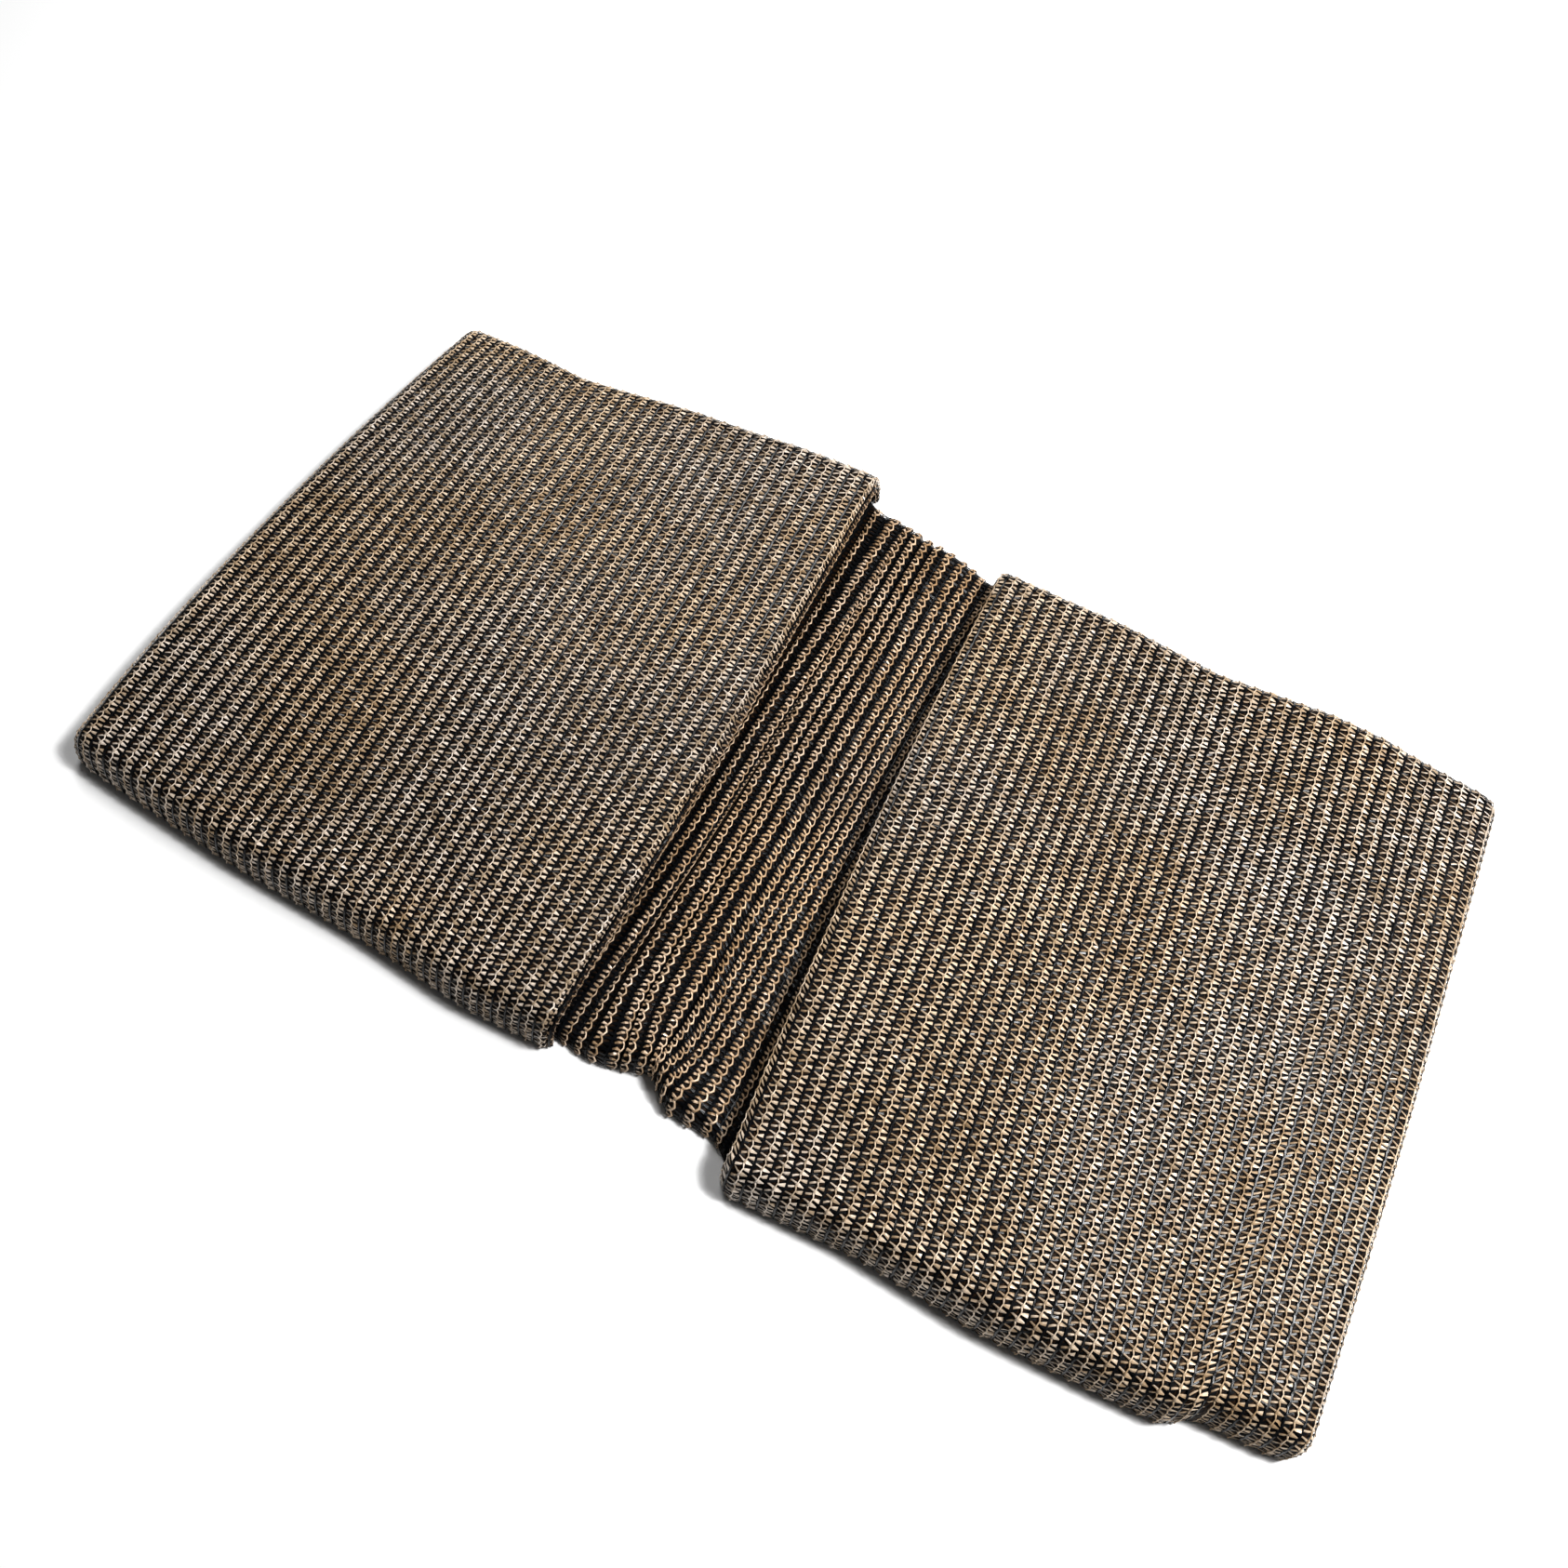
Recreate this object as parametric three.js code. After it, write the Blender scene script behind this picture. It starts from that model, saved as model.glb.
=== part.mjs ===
// Folded shade net: one knitted cloth folded back and forth, with both ends turned in towards the
// middle. X runs along the bundle, Y across it and Z up. The origin is the middle of the underside.
import * as THREE from "three";

// Driving dimensions, in millimetres.
const CLOTH_THICKNESS = 1.6;
const LAYER_PITCH = 2.2;
const LEFT_END = -289;
const RIGHT_END = 243;
const LEFT_FLAP_EDGE = -61.6;
const SECOND_FOLD_STEP = 1.5;
const RIGHT_PANEL_EDGE = 23.5;
const END_FOLD_SQUASH = 0.8;
const INNER_FOLD_SETBACK = 6;
const INNER_FOLD_STAGGER = 1;
const SHOULDER_OVERLAP = 5;
const CUT_END_SETBACK = 2;

// The long edges are rounded over: every layer bends down round the bottom edge line.
const NOSE_BASE = 3.5;
const NOSE_PER_HEIGHT = 0.35;
const NOSE_ANGLES_DEG = [32, 58, 79];
const CORNER_PULL = 1.5;

// Places across the bundle where the section is drawn, from the front (-1) to the back (1).
const STATIONS_ACROSS = [-1, -0.72, -0.4, -0.08, 0.26, 0.58, 0.82, 1];

// Long edges of the flat part of the stack, how far the folds lean from front to back, and how far
// they bow out at the middle of the bundle's width.
const PLAN = [
  { x: -300, front: -127, back: 139, lean: 7, bow: -6.5 },
  { x: -262, front: -129, back: 139, lean: 0, bow: -5.5 },
  { x: -215, front: -132, back: 138.5, lean: -7, bow: -2 },
  { x: -155, front: -132, back: 148, lean: -10, bow: 0 },
  { x: -100, front: -134.5, back: 153.5, lean: -8.5, bow: 0.3 },
  { x: -63, front: -132.5, back: 155.5, lean: -5.4, bow: 1.6 },
  { x: -50, front: -132, back: 148, lean: -9, bow: 0 },
  { x: -40, front: -130.5, back: 146.5, lean: -9, bow: 0 },
  { x: -21, front: -124, back: 142.5, lean: -9, bow: 0 },
  { x: -9, front: -134, back: 142, lean: -9.5, bow: -0.5 },
  { x: 8, front: -135, back: 141, lean: -12, bow: -2 },
  { x: 17, front: -139, back: 139.5, lean: -12, bow: -3 },
  { x: 24, front: -147, back: 139.5, lean: -12, bow: -3 },
  { x: 76, front: -142, back: 139.5, lean: -13, bow: -1 },
  { x: 128, front: -143, back: 136, lean: -13, bow: 0 },
  { x: 180, front: -140, back: 142, lean: -12, bow: 0 },
  { x: 201, front: -138.5, back: 142, lean: -10, bow: 0 },
  { x: 212, front: -131.5, back: 140.5, lean: -9, bow: 0 },
  { x: 256, front: -128, back: 136.5, lean: -7, bow: 1 },
];

// How full the stack is, as a share of its flat height, at the front edge, middle and back edge.
const FULLNESS = [
  { x: -296, front: 0.9, middle: 0.95, back: 0.93 },
  { x: -262, front: 0.96, middle: 1.0, back: 0.97 },
  { x: -155, front: 0.99, middle: 1.03, back: 0.99 },
  { x: -60, front: 1.0, middle: 1.02, back: 1.08 },
  { x: -21, front: 1.02, middle: 1.0, back: 1.04 },
  { x: 22, front: 1.04, middle: 1.05, back: 1.04 },
  { x: 128, front: 1.12, middle: 1.15, back: 1.1 },
  { x: 201, front: 1.09, middle: 1.13, back: 1.09 },
  { x: 250, front: 1.0, middle: 1.05, back: 1.02 },
];

// Height of the uppermost layer of the middle above where it would lie flat.
const MIDDLE_RISE = [
  { x: -60, rise: 0 },
  { x: -52, rise: 1.8 },
  { x: -42, rise: 4.2 },
  { x: -28, rise: 5.6 },
  { x: -14, rise: 5.4 },
  { x: -5, rise: 4 },
  { x: 5, rise: 1.8 },
  { x: 12, rise: 0 },
];
const UNDER_RISE_SHARE = 0.35;
const FULL_RIB_RISE = 1.5;

// Crests of the uppermost layer's ribs at the middle of the width, and how far each drifts against
// the lean of the layers below towards the back. The first row and the last two are not ribs.
const RIBS = [
  { x: -75, drift: 0 },
  { x: -60, drift: 6 },
  { x: -53.2, drift: 11 },
  { x: -46.1, drift: 11.5 },
  { x: -43.5, drift: 9.2 },
  { x: -40.7, drift: 6.8 },
  { x: -34.4, drift: 5.5 },
  { x: -29.4, drift: 7 },
  { x: -23.2, drift: 6.8 },
  { x: -16.3, drift: 6.8 },
  { x: -9.4, drift: 8 },
  { x: -3.8, drift: 8.8 },
  { x: 1.2, drift: 9.8 },
  { x: 6.2, drift: 10.8 },
  { x: 12, drift: 10.8 },
  { x: 18, drift: 11 },
  { x: 24, drift: 11.5 },
  { x: 30, drift: 12 },
  { x: 50, drift: 6 },
  { x: 70, drift: 0 },
];
const RIB_HEIGHT = 1.1;

// Creases between the ribs: the line and depth of each trough from front to back.
const CREASES = [
  { front: -45, centre: -43.3, back: -43, depthFront: 2.6, depthCentre: 3.2, depthBack: 3.6, half: 1.7 },
  { front: -31.9, centre: -31.9, back: -31.9, depthFront: 2, depthCentre: 1.2, depthBack: 1.8, half: 1.5 },
  { front: -26.3, centre: -26.3, back: -26.3, depthFront: 0, depthCentre: 0.3, depthBack: 1.8, half: 1.4 },
  { front: -12.5, centre: -12.5, back: -12.5, depthFront: 2.6, depthCentre: 0, depthBack: 0, half: 2.2 },
];

// The front edge of that layer is pinched together at one place.
const PINCH_PLACE = -21.6;
const PINCH_SHARE = 0.6;
const PINCH_REACH = 16;
const PINCH_START = -0.82;

// Soft unevenness of the whole stack.
const WAVES = [
  { lengthX: 190, lengthY: 260, height: 0.022, phase: 0.6 },
  { lengthX: 84, lengthY: 150, height: 0.012, phase: 2.1 },
];
const WAVE_HALF_WIDTH = 135;

const NET_COLOUR = 0x8a7258;

const SMALL_TURN_STEPS = 2;
const LARGE_TURN_STEPS = 7;
const LEAST_PLACE_GAP = 4;

function levelHeight(level) {
  return CLOTH_THICKNESS / 2 + level * LAYER_PITCH;
}

// Value of one column of a table at x, in a straight line from row to row.
function column(table, x, name) {
  if (x <= table[0].x) return table[0][name];
  for (let i = 1; i < table.length; i += 1) {
    const lower = table[i - 1];
    const upper = table[i];
    if (x <= upper.x) {
      const t = (x - lower.x) / (upper.x - lower.x);
      return lower[name] + (upper[name] - lower[name]) * t;
    }
  }
  return table[table.length - 1][name];
}

// A quantity given at the front, middle and back, at a place across the bundle.
function acrossBlend(front, middle, back, across) {
  const side = across < 0 ? front : back;
  return middle + (side - middle) * across * across;
}

// How far along the ribs a place is, with a whole number at each crest.
function ribCount(x) {
  const next = RIBS.findIndex((rib) => rib.x > x);
  if (next < 1) return 0;
  return next - 1 + (x - RIBS[next - 1].x) / (RIBS[next].x - RIBS[next - 1].x);
}

// Where a rib of the uppermost layer lies in the plan of the layers below it.
function ribPlace(x, across) {
  const drifted = x + column(RIBS, x, "drift") * across;
  const near = Math.max(0, (PINCH_START - across) / (1 + PINCH_START));
  const away = drifted - PINCH_PLACE;
  return drifted - near * near * PINCH_SHARE * away * Math.exp(-((away / PINCH_REACH) ** 2));
}

// Rise of the layer under the uppermost one, which lies smooth.
function underRelief(x) {
  return UNDER_RISE_SHARE * column(MIDDLE_RISE, x, "rise");
}

// Rise of the middle's uppermost layer, with its creases and its ribs.
function middleRelief(x, across) {
  const place = ribPlace(x, across);
  const rise = column(MIDDLE_RISE, place, "rise");
  const rib = 0.5 + 0.5 * Math.cos(2 * Math.PI * ribCount(x));
  let relief = rise + RIB_HEIGHT * rib * Math.min(1, rise / FULL_RIB_RISE);
  for (const crease of CREASES) {
    const line = acrossBlend(crease.front, crease.centre, crease.back, across);
    const depth = acrossBlend(crease.depthFront, crease.depthCentre, crease.depthBack, across);
    relief -= depth * Math.exp(-(((x - line) / crease.half) ** 2));
  }
  return Math.max(underRelief(place), relief);
}

// The two faces of the cloth, gathered as the section is walked from one cut end to the other.
class ClothPath {
  constructor() {
    this.leftFace = [];
    this.rightFace = [];
  }

  // A flat stretch of one layer, through the given places along the bundle.
  run(level, places, relief = null, plan = null) {
    const direction = Math.sign(places[places.length - 1] - places[0]);
    for (const x of places) {
      const upper = { x, z: levelHeight(level) + CLOTH_THICKNESS / 2, relief, plan };
      const lower = { x, z: levelHeight(level) - CLOTH_THICKNESS / 2, relief, plan };
      this.leftFace.push(direction > 0 ? upper : lower);
      this.rightFace.push(direction > 0 ? lower : upper);
    }
  }

  // A fold from one layer to another, bulging towards the side given as -1 or 1.
  turn(fromLevel, toLevel, x, side, squash = 1) {
    const radius = (Math.abs(toLevel - fromLevel) * LAYER_PITCH) / 2;
    const middle = (levelHeight(fromLevel) + levelHeight(toLevel)) / 2;
    const rising = toLevel > fromLevel ? 1 : -1;
    const steps = Math.abs(toLevel - fromLevel) > 1 ? LARGE_TURN_STEPS : SMALL_TURN_STEPS;
    const outerIsLeft = side * rising < 0;
    for (let i = 1; i < steps; i += 1) {
      const angle = (Math.PI * i) / steps;
      const along = side * Math.sin(angle) * squash;
      const up = -rising * Math.cos(angle);
      const onArc = (distance) => ({ x: x + along * distance, z: middle + up * distance });
      const outer = onArc(radius + CLOTH_THICKNESS / 2);
      const inner = onArc(radius - CLOTH_THICKNESS / 2);
      this.leftFace.push(outerIsLeft ? outer : inner);
      this.rightFace.push(outerIsLeft ? inner : outer);
    }
  }

  outline() {
    return [...this.leftFace, ...this.rightFace.slice().reverse()];
  }
}

// Places along one layer from one end to the other, with one at each row of the plan between them.
function places(from, to) {
  const low = Math.min(from, to);
  const high = Math.max(from, to);
  const isBetween = (x) => x > low + LEAST_PLACE_GAP && x < high - LEAST_PLACE_GAP;
  const between = PLAN.map((row) => row.x).filter(isBetween);
  const along = [low, ...between, high];
  return from < to ? along : along.reverse();
}

// Places along the middle's uppermost layer: each rib's crest and the trough after it.
function ribPlaces() {
  return RIBS.slice(1).flatMap((rib, i) => [(RIBS[i].x + rib.x) / 2, rib.x]);
}

function netSection() {
  const path = new ClothPath();
  const innerLeft = LEFT_END + INNER_FOLD_SETBACK;
  const innerRight = RIGHT_END - INNER_FOLD_SETBACK;
  const loopRight = innerRight - INNER_FOLD_STAGGER;
  const secondEdge = LEFT_FLAP_EDGE + SECOND_FOLD_STEP;
  const thirdEdge = LEFT_FLAP_EDGE - SECOND_FOLD_STEP;
  const underShoulder = RIGHT_PANEL_EDGE + SHOULDER_OVERLAP;
  const rise = MIDDLE_RISE.map((row) => row.x).reverse();
  const risen = rise.slice(1, -1);

  path.run(1, places(innerRight, rise[0]));
  path.run(1, risen, underRelief);
  path.run(1, places(rise[rise.length - 1], innerLeft));
  path.turn(1, 2, innerLeft, -1);
  path.run(2, places(innerLeft, RIBS[0].x));
  path.run(2, ribPlaces(), middleRelief, ribPlace);
  path.run(2, places(RIBS[RIBS.length - 1].x + LEAST_PLACE_GAP, innerRight));
  path.turn(2, 7, innerRight, 1, END_FOLD_SQUASH);
  path.run(7, places(innerRight, underShoulder));
  path.turn(7, 6, underShoulder, -1);
  path.run(6, places(underShoulder, loopRight));
  path.turn(6, 5, loopRight, 1);
  path.run(5, places(loopRight, underShoulder));
  path.turn(5, 4, underShoulder, -1);
  path.run(4, places(underShoulder, loopRight));
  path.turn(4, 3, loopRight, 1);
  path.run(3, places(loopRight, RIGHT_PANEL_EDGE));
  path.turn(3, 8, RIGHT_PANEL_EDGE, -1, END_FOLD_SQUASH);
  path.run(8, places(RIGHT_PANEL_EDGE, RIGHT_END));
  path.turn(8, 0, RIGHT_END, 1, END_FOLD_SQUASH);
  path.run(0, places(RIGHT_END, LEFT_END));
  path.turn(0, 9, LEFT_END, -1, END_FOLD_SQUASH);
  path.run(9, places(LEFT_END, LEFT_FLAP_EDGE));
  path.turn(9, 8, LEFT_FLAP_EDGE, 1);
  path.run(8, places(LEFT_FLAP_EDGE, innerLeft));
  path.turn(8, 7, innerLeft, -1);
  path.run(7, places(innerLeft, secondEdge));
  path.turn(7, 6, secondEdge, 1);
  path.run(6, places(secondEdge, innerLeft));
  path.turn(6, 5, innerLeft, -1);
  path.run(5, places(innerLeft, thirdEdge));
  path.turn(5, 4, thirdEdge, 1);
  path.run(4, places(thirdEdge, innerLeft));
  path.turn(4, 3, innerLeft, -1);
  path.run(3, places(innerLeft, thirdEdge - CUT_END_SETBACK));
  return path.outline();
}

function stackFullness(x, across) {
  let share = acrossBlend(
    column(FULLNESS, x, "front"),
    column(FULLNESS, x, "middle"),
    column(FULLNESS, x, "back"),
    across,
  );
  for (const wave of WAVES) {
    const turns = x / wave.lengthX + (across * WAVE_HALF_WIDTH) / wave.lengthY;
    share += wave.height * Math.sin(2 * Math.PI * turns + wave.phase);
  }
  return share;
}

// Where a point of the section lies in the bundle, at a place across it and an angle round the nose.
function placePoint(point, across, noseAngle) {
  const x = point.plan ? point.plan(point.x, across) : point.x;
  const relief = point.relief ? point.relief(point.x, across) : 0;
  const height = (point.z + relief) * stackFullness(x, across);
  const front = column(PLAN, x, "front");
  const back = column(PLAN, x, "back");
  const flatY = front + ((back - front) * (across + 1)) / 2;
  const reach = (NOSE_BASE + NOSE_PER_HEIGHT * height) * Math.sin(noseAngle);
  const middle = (LEFT_END + RIGHT_END) / 2;
  const fromMiddle = (x - middle) / ((RIGHT_END - LEFT_END) / 2);
  const pull = CORNER_PULL * (1 - Math.cos(noseAngle)) * fromMiddle ** 9;
  const lean = column(PLAN, x, "lean") * across;
  const bow = column(PLAN, x, "bow") * (1 - across * across);
  return new THREE.Vector3(
    x + lean + bow - pull,
    flatY + Math.sign(across) * reach,
    height * Math.cos(noseAngle),
  );
}

function stations() {
  const angles = NOSE_ANGLES_DEG.map((degrees) => THREE.MathUtils.degToRad(degrees));
  const frontNose = angles.slice().reverse().map((angle) => ({ across: -1, noseAngle: angle }));
  const flat = STATIONS_ACROSS.map((across) => ({ across, noseAngle: 0 }));
  const backNose = angles.map((angle) => ({ across: 1, noseAngle: angle }));
  return [...frontNose, ...flat, ...backNose];
}

// The closed solid swept through all the stations. Each end is closed by a strip between the two
// faces of the cloth, so it follows the uneven long edges.
function sweptCloth(outline, stops) {
  const count = outline.length;
  const positions = [];
  for (const stop of stops) {
    for (const point of outline) {
      positions.push(...placePoint(point, stop.across, stop.noseAngle).toArray());
    }
  }
  const triangles = [];
  for (let j = 0; j + 1 < stops.length; j += 1) {
    for (let i = 0; i < count; i += 1) {
      const next = (i + 1) % count;
      const a = j * count + i;
      const b = j * count + next;
      triangles.push(a, b, a + count, b, b + count, a + count);
    }
  }
  const last = (stops.length - 1) * count;
  for (let i = 0; i + 1 < count / 2; i += 1) {
    const left = [i, i + 1];
    const right = [count - 1 - i, count - 2 - i];
    triangles.push(left[1], left[0], right[0], left[1], right[0], right[1]);
    const [leftEnd, rightEnd] = [left, right].map((pair) => pair.map((k) => last + k));
    triangles.push(leftEnd[0], leftEnd[1], rightEnd[0], rightEnd[0], leftEnd[1], rightEnd[1]);
  }
  const geometry = new THREE.BufferGeometry();
  geometry.setAttribute("position", new THREE.Float32BufferAttribute(positions, 3));
  geometry.setIndex(triangles);
  return geometry;
}

function signedVolume(geometry) {
  const corner = [new THREE.Vector3(), new THREE.Vector3(), new THREE.Vector3()];
  const position = geometry.getAttribute("position");
  const index = geometry.getIndex();
  let volume = 0;
  for (let i = 0; i < index.count; i += 3) {
    corner.forEach((vertex, k) => vertex.fromBufferAttribute(position, index.getX(i + k)));
    volume += corner[0].dot(corner[1].cross(corner[2])) / 6;
  }
  return volume;
}

// Turns every face over when the sweep came out inside out.
function facingOutwards(geometry) {
  if (signedVolume(geometry) > 0) return geometry;
  const index = geometry.getIndex();
  for (let i = 0; i < index.count; i += 3) {
    const second = index.getX(i + 1);
    index.setX(i + 1, index.getX(i + 2));
    index.setX(i + 2, second);
  }
  return geometry;
}

function buildNet() {
  const geometry = facingOutwards(sweptCloth(netSection(), stations()));
  geometry.computeBoundingBox();
  const middle = geometry.boundingBox.getCenter(new THREE.Vector3());
  geometry.translate(-middle.x, -middle.y, 0);
  geometry.computeVertexNormals();
  const material = new THREE.MeshStandardMaterial({
    color: NET_COLOUR,
    roughness: 0.55,
    metalness: 0,
    flatShading: true,
  });
  const mesh = new THREE.Mesh(geometry, material);
  mesh.name = "net";
  return mesh;
}

const shadeNet = new THREE.Group();
shadeNet.name = "shade_net";
shadeNet.add(buildNet());

export default shadeNet;
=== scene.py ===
"""Folded shade net: one knitted cloth in sand and black stripes, folded flat with both ends turned in.

The cloth is a thin sheet on the folds of the solid. On every face of it that shows, the knit is
modelled as yarn: a chain of loops along each stripe, and flat tapes that reach out from each loop.
"""

import math

import bmesh
import bpy
import numpy as np
from bpy.props import FloatProperty, FloatVectorProperty, IntProperty, PointerProperty
from mathutils import Euler, Matrix, Vector


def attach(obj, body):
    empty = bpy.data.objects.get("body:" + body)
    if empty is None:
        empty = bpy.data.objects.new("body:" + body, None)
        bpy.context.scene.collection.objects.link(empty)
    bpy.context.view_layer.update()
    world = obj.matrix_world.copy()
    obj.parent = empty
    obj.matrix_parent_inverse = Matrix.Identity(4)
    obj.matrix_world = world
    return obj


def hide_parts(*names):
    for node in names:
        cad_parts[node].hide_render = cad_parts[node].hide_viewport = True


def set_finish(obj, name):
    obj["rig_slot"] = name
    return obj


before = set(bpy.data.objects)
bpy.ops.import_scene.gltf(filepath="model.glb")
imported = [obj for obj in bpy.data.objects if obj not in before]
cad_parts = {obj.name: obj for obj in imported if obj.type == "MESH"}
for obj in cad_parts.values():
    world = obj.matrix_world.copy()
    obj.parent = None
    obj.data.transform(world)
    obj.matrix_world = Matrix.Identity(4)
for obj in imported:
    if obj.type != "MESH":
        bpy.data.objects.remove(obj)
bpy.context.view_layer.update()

bl_info = {
    "name": "Folded shade net",
    "version": (1, 0, 0),
    "blender": (4, 5, 0),
    "location": "View3D > Sidebar > Shade Net",
    "description": "Builds a folded knitted shade net with its yarns, and a plain stage for it",
    "category": "Add Mesh",
}

# The cloth is worked out in millimetres, as its solid is, and put in metres when a mesh is finished.
MM = 0.001

# From the solid's own numbers to the frame's origin, which is the middle of the solid's box.
SHIFT_X = 23.81
SHIFT_Y = -4.85

# The folds, with the names and sizes of the solid.
CLOTH_THICKNESS = 1.6
LAYER_PITCH = 2.2
LEFT_END = -289.0
RIGHT_END = 243.0
LEFT_FLAP_EDGE = -61.6
SECOND_FOLD_STEP = 1.5
RIGHT_PANEL_EDGE = 23.5
END_FOLD_SQUASH = 0.8
INNER_FOLD_SETBACK = 6.0
INNER_FOLD_STAGGER = 1.0
SHOULDER_OVERLAP = 5.0
CUT_END_SETBACK = 2.0
NOSE_BASE = 3.5
NOSE_PER_HEIGHT = 0.35
CORNER_PULL = 1.5
NOSE_END_ANGLE = math.radians(86.0)


def table(names, rows):
    """Rows of numbers with named columns."""
    return np.array(rows, dtype=[(name, float) for name in names.split()])


# Long edges of the flat part of the stack, how far the folds lean from front to back, and how far
# they bow out at the middle of the bundle's width.
PLAN = table(
    "x front back lean bow",
    [(-300, -127, 139, 7, -6.5), (-262, -129, 139, 0, -5.5), (-215, -132, 138.5, -7, -2),
     (-155, -132, 148, -10, 0), (-100, -134.5, 153.5, -8.5, 0.3),
     (-63, -132.5, 155.5, -5.4, 1.6), (-50, -132, 148, -9, 0), (-40, -130.5, 146.5, -9, 0),
     (-21, -124, 142.5, -9, 0), (-9, -134, 142, -9.5, -0.5), (8, -135, 141, -12, -2),
     (17, -139, 139.5, -12, -3), (24, -147, 139.5, -12, -3), (76, -142, 139.5, -13, -1),
     (128, -143, 136, -13, 0), (180, -140, 142, -12, 0), (201, -138.5, 142, -10, 0),
     (212, -131.5, 140.5, -9, 0), (256, -128, 136.5, -7, 1)],
)

# How full the stack is, as a share of its flat height.
FULLNESS = table(
    "x front middle back",
    [(-296, 0.9, 0.95, 0.93), (-262, 0.96, 1.0, 0.97), (-155, 0.99, 1.03, 0.99),
     (-60, 1.0, 1.02, 1.08), (-21, 1.02, 1.0, 1.04), (22, 1.04, 1.05, 1.04),
     (128, 1.12, 1.15, 1.1), (201, 1.09, 1.13, 1.09), (250, 1.0, 1.05, 1.02)],
)

# Height of the uppermost layer of the middle above where it would lie flat.
MIDDLE_RISE = table(
    "x rise",
    [(-60, 0), (-52, 1.8), (-42, 4.2), (-28, 5.6), (-14, 5.4), (-5, 4), (5, 1.8), (12, 0)],
)
UNDER_RISE_SHARE = 0.35
FULL_RIB_RISE = 1.5

# Crests of that layer's ribs at the middle of the width, and how far each drifts against the lean
# of the layers below towards the back. The first row and the last two are not ribs.
RIBS = table(
    "x drift",
    [(-75, 0), (-60, 6), (-53.2, 11), (-46.1, 11.5), (-43.5, 9.2), (-40.7, 6.8), (-34.4, 5.5),
     (-29.4, 7), (-23.2, 6.8), (-16.3, 6.8), (-9.4, 8), (-3.8, 8.8), (1.2, 9.8), (6.2, 10.8),
     (12, 10.8), (18, 11), (24, 11.5), (30, 12), (50, 6), (70, 0)],
)
RIB_HEIGHT = 1.1

# Creases between the ribs: the line and depth of each trough from front to back.
CREASES = table(
    "front centre back depth_front depth_centre depth_back half",
    [(-45, -43.3, -43, 2.6, 3.2, 3.6, 1.7), (-31.9, -31.9, -31.9, 2, 1.2, 1.8, 1.5),
     (-26.3, -26.3, -26.3, 0, 0.3, 1.8, 1.4), (-12.5, -12.5, -12.5, 2.6, 0, 0, 2.2)],
)

# The front edge of that layer is pinched together at one place.
PINCH_PLACE = -21.6
PINCH_SHARE = 0.6
PINCH_REACH = 16.0
PINCH_START = -0.82

# Soft unevenness of the whole stack.
WAVES = table("length_x length_y height phase", [(190, 260, 0.022, 0.6), (84, 150, 0.012, 2.1)])
WAVE_HALF_WIDTH = 135.0

# The knit: a sand and a black chain to a stripe repeat, and one loop of a chain to a stitch.
STRIPE_REPEAT = 6.9
STITCH_LENGTH = 4.36
SAND_PLACE = 2.5
BLACK_PLACE = SAND_PLACE + STRIPE_REPEAT / 2
RIB_CHAIN_PLACE = 1.2
RIB_CREST_PLACE = SAND_PLACE - RIB_CHAIN_PLACE
FIRST_ROW_SETBACK = 0.4
SECOND_FOLD_SHOWN = 6.0
LEAST_HEIGHT = 0.12

# The stage.
FLOOR_REACH = 4.0
SENSOR = 36.0
LIGHT_DISTANCE = 1.3
KEY_SIZE = 0.4
BACK_SIZE = 0.4
GLINT_SIZE = 0.15
EXPOSURE = 0.38
GAMMA = 0.86
KEY_DIRECTION = (0.55, 0.25, 0.85)
BACK_DIRECTION = (-0.4, 0.53, 0.75)

# Plies of the middle that don't lie flat.
FLAT_PLY = 0
UNDER_PLY = 1
TOP_PLY = 2


def column(rows, x, name):
    return np.interp(x, rows["x"], rows[name])


def across_blend(front, middle, back, across):
    """A quantity given at the front, middle and back, at a place across the bundle."""
    side = np.where(across < 0, front, back)
    return middle + (side - middle) * across * across


def rib_count(x):
    """How far along the ribs a place is, with a whole number at each crest."""
    return np.interp(x, RIBS["x"], np.arange(len(RIBS)))


def rib_place(x, across):
    """Where a rib of the middle's uppermost layer lies in the plan of the layers below it."""
    drifted = x + column(RIBS, x, "drift") * across
    near = np.maximum(0, (PINCH_START - across) / (1 + PINCH_START))
    away = drifted - PINCH_PLACE
    return drifted - near**2 * PINCH_SHARE * away * np.exp(-((away / PINCH_REACH) ** 2))


def middle_relief(x, across):
    """Rise of the middle's uppermost layer, with its creases and its ribs."""
    place_below = rib_place(x, across)
    rise = column(MIDDLE_RISE, place_below, "rise")
    rib = 0.5 + 0.5 * np.cos(2 * math.pi * rib_count(x))
    relief = rise + RIB_HEIGHT * rib * np.minimum(1, rise / FULL_RIB_RISE)
    for crease in CREASES:
        line = across_blend(crease["front"], crease["centre"], crease["back"], across)
        depth = across_blend(crease["depth_front"], crease["depth_centre"], crease["depth_back"], across)
        relief = relief - depth * np.exp(-(((x - line) / crease["half"]) ** 2))
    return np.maximum(UNDER_RISE_SHARE * rise, relief)


def stack_fullness(x, across):
    share = across_blend(
        column(FULLNESS, x, "front"), column(FULLNESS, x, "middle"), column(FULLNESS, x, "back"), across
    )
    for wave in WAVES:
        turns = x / wave["length_x"] + across * WAVE_HALF_WIDTH / wave["length_y"]
        share = share + wave["height"] * np.sin(2 * math.pi * turns + wave["phase"])
    return share


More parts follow.
